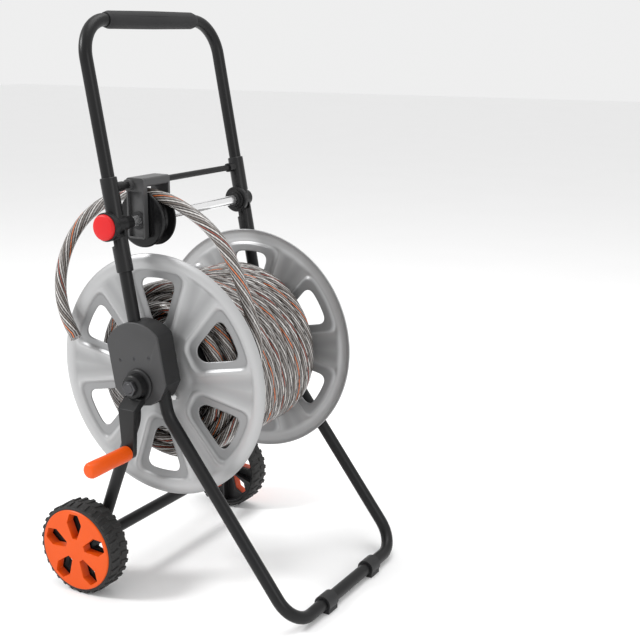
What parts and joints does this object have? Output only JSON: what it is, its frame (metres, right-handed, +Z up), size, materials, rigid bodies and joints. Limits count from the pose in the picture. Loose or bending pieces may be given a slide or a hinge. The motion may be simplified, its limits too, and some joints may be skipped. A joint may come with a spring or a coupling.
{
  "type": "garden hose reel cart",
  "caption": "Metal garden hose cart: cranked reel with stamped flanges and wound hose on a bent-tube stand, folding handle, sliding hose guide and spoked wheels.",
  "frame": {"origin": "on the floor, under the middle of the cart's bounding box, without the hose", "axes": "+X forward towards the floor bar, +Y towards the water inlet, away from the crank, +Z up"},
  "size_m": [0.4868, 0.542, 0.9163],
  "materials": {
    "black_steel": "satin",
    "flange_steel": "satin",
    "housing_plastic": "matte",
    "black_plastic": "matte",
    "orange_plastic": "satin",
    "red_plastic": "satin",
    "grip_rubber": "matte",
    "tyre_rubber": "matte",
    "polished_rod": "polished",
    "zinc_steel": "satin",
    "hose_plastic": "gloss"
  },
  "bodies": {
    "frame": {"front_frame": "black_steel", "rear_leg_right": "black_steel", "rear_leg_left": "black_steel", "rear_cross_tube": "black_steel", "tube_plug_right": "black_plastic", "tube_plug_left": "black_plastic", "axle_rod": "zinc_steel", "axle_washer_right": "zinc_steel", "axle_washer_left": "zinc_steel", "foot_right": "black_plastic", "foot_left": "black_plastic", "housing_body_right": "housing_plastic", "housing_body_left": "housing_plastic", "housing_cover_right": "housing_plastic", "housing_cover_left": "housing_plastic", "cover_screws_right": "zinc_steel", "cover_screws_left": "zinc_steel", "hub_bush_right": "black_plastic", "hub_bush_left": "black_plastic", "hub_ring_right": "black_plastic", "upright_right": "black_steel", "upright_left": "black_steel", "lower_knuckle_right": "black_plastic", "lower_knuckle_left": "black_plastic", "hinge_pin_right": "zinc_steel", "hinge_pin_left": "zinc_steel", "guide_rod": "polished_rod", "inlet_connector": "black_plastic", "inlet_seal": "grip_rubber"},
    "reel": {"flange_right": "flange_steel", "flange_left": "flange_steel", "drum": "black_plastic", "tie_bolts": "zinc_steel", "crank_shaft": "zinc_steel", "inlet_shaft": "zinc_steel", "outlet_elbow": "black_plastic", "crank_arm": "black_plastic", "crank_nut": "zinc_steel", "crank_pin": "zinc_steel", "hose_pack": "hose_plastic"},
    "crank_grip": {"crank_grip": "orange_plastic"},
    "handle": {"handle_tube": "black_steel", "handle_grip": "grip_rubber", "upper_knuckle_right": "black_plastic", "upper_knuckle_left": "black_plastic", "cross_bar": "black_steel", "button_spring": "zinc_steel"},
    "release_button": {"release_button": "red_plastic"},
    "guide_sleeve": {"guide_sleeve": "black_plastic", "hose_free": "hose_plastic"},
    "guide_roller": {"guide_roller": "black_plastic"},
    "guide_bracket": {"guide_bracket": "black_plastic"},
    "wheel_right": {"tyre_right": "tyre_rubber", "wheel_rim_right": "black_plastic", "wheel_cover_right": "orange_plastic"},
    "wheel_left": {"tyre_left": "tyre_rubber", "wheel_rim_left": "black_plastic", "wheel_cover_left": "orange_plastic"}
  },
  "joints": [
    {"name": "reel_spin", "type": "hinge", "parent": "frame", "child": "reel", "pos_m": [-0.0425, 0.039, 0.36], "axis": [0, 1, 0], "continuous": true},
    {"name": "crank_grip_spin", "type": "hinge", "parent": "reel", "child": "crank_grip", "pos_m": [-0.0425, -0.226, 0.26], "axis": [0, 1, 0], "continuous": true},
    {"name": "handle_fold", "type": "hinge", "parent": "frame", "child": "handle", "pos_m": [-0.08631, 0.039, 0.60105], "axis": [0, -1, 0], "range_deg": [0, 132]},
    {"name": "button_push", "type": "slide", "parent": "handle", "child": "release_button", "axis": [0, 1, 0], "range_m": [0, 0.004], "stiffness_N_per_m": 500, "springref_m": -0.003, "deforming": ["button_spring"]},
    {"name": "guide_slide", "type": "slide", "parent": "frame", "child": "guide_sleeve", "axis": [0, 1, 0], "range_m": [-0.006, 0.19], "deforming": ["hose_free"]},
    {"name": "guide_roller_spin", "type": "hinge", "parent": "guide_sleeve", "child": "guide_roller", "pos_m": [-0.08631, -0.056, 0.60105], "axis": [0, 1, 0], "continuous": true},
    {"name": "guide_bracket_swing", "type": "hinge", "parent": "guide_sleeve", "child": "guide_bracket", "pos_m": [-0.08631, -0.056, 0.60105], "axis": [0, -1, 0], "range_deg": [0, 132]},
    {"name": "wheel_spin_right", "type": "hinge", "parent": "frame", "child": "wheel_right", "pos_m": [-0.1525, -0.166, 0.076], "axis": [0, 1, 0], "continuous": true},
    {"name": "wheel_spin_left", "type": "hinge", "parent": "frame", "child": "wheel_left", "pos_m": [-0.1525, 0.244, 0.076], "axis": [0, 1, 0], "continuous": true}
  ],
  "couplings": [
    {"joint": "guide_bracket_swing", "follows": "handle_fold", "ratio": 1}
  ]
}
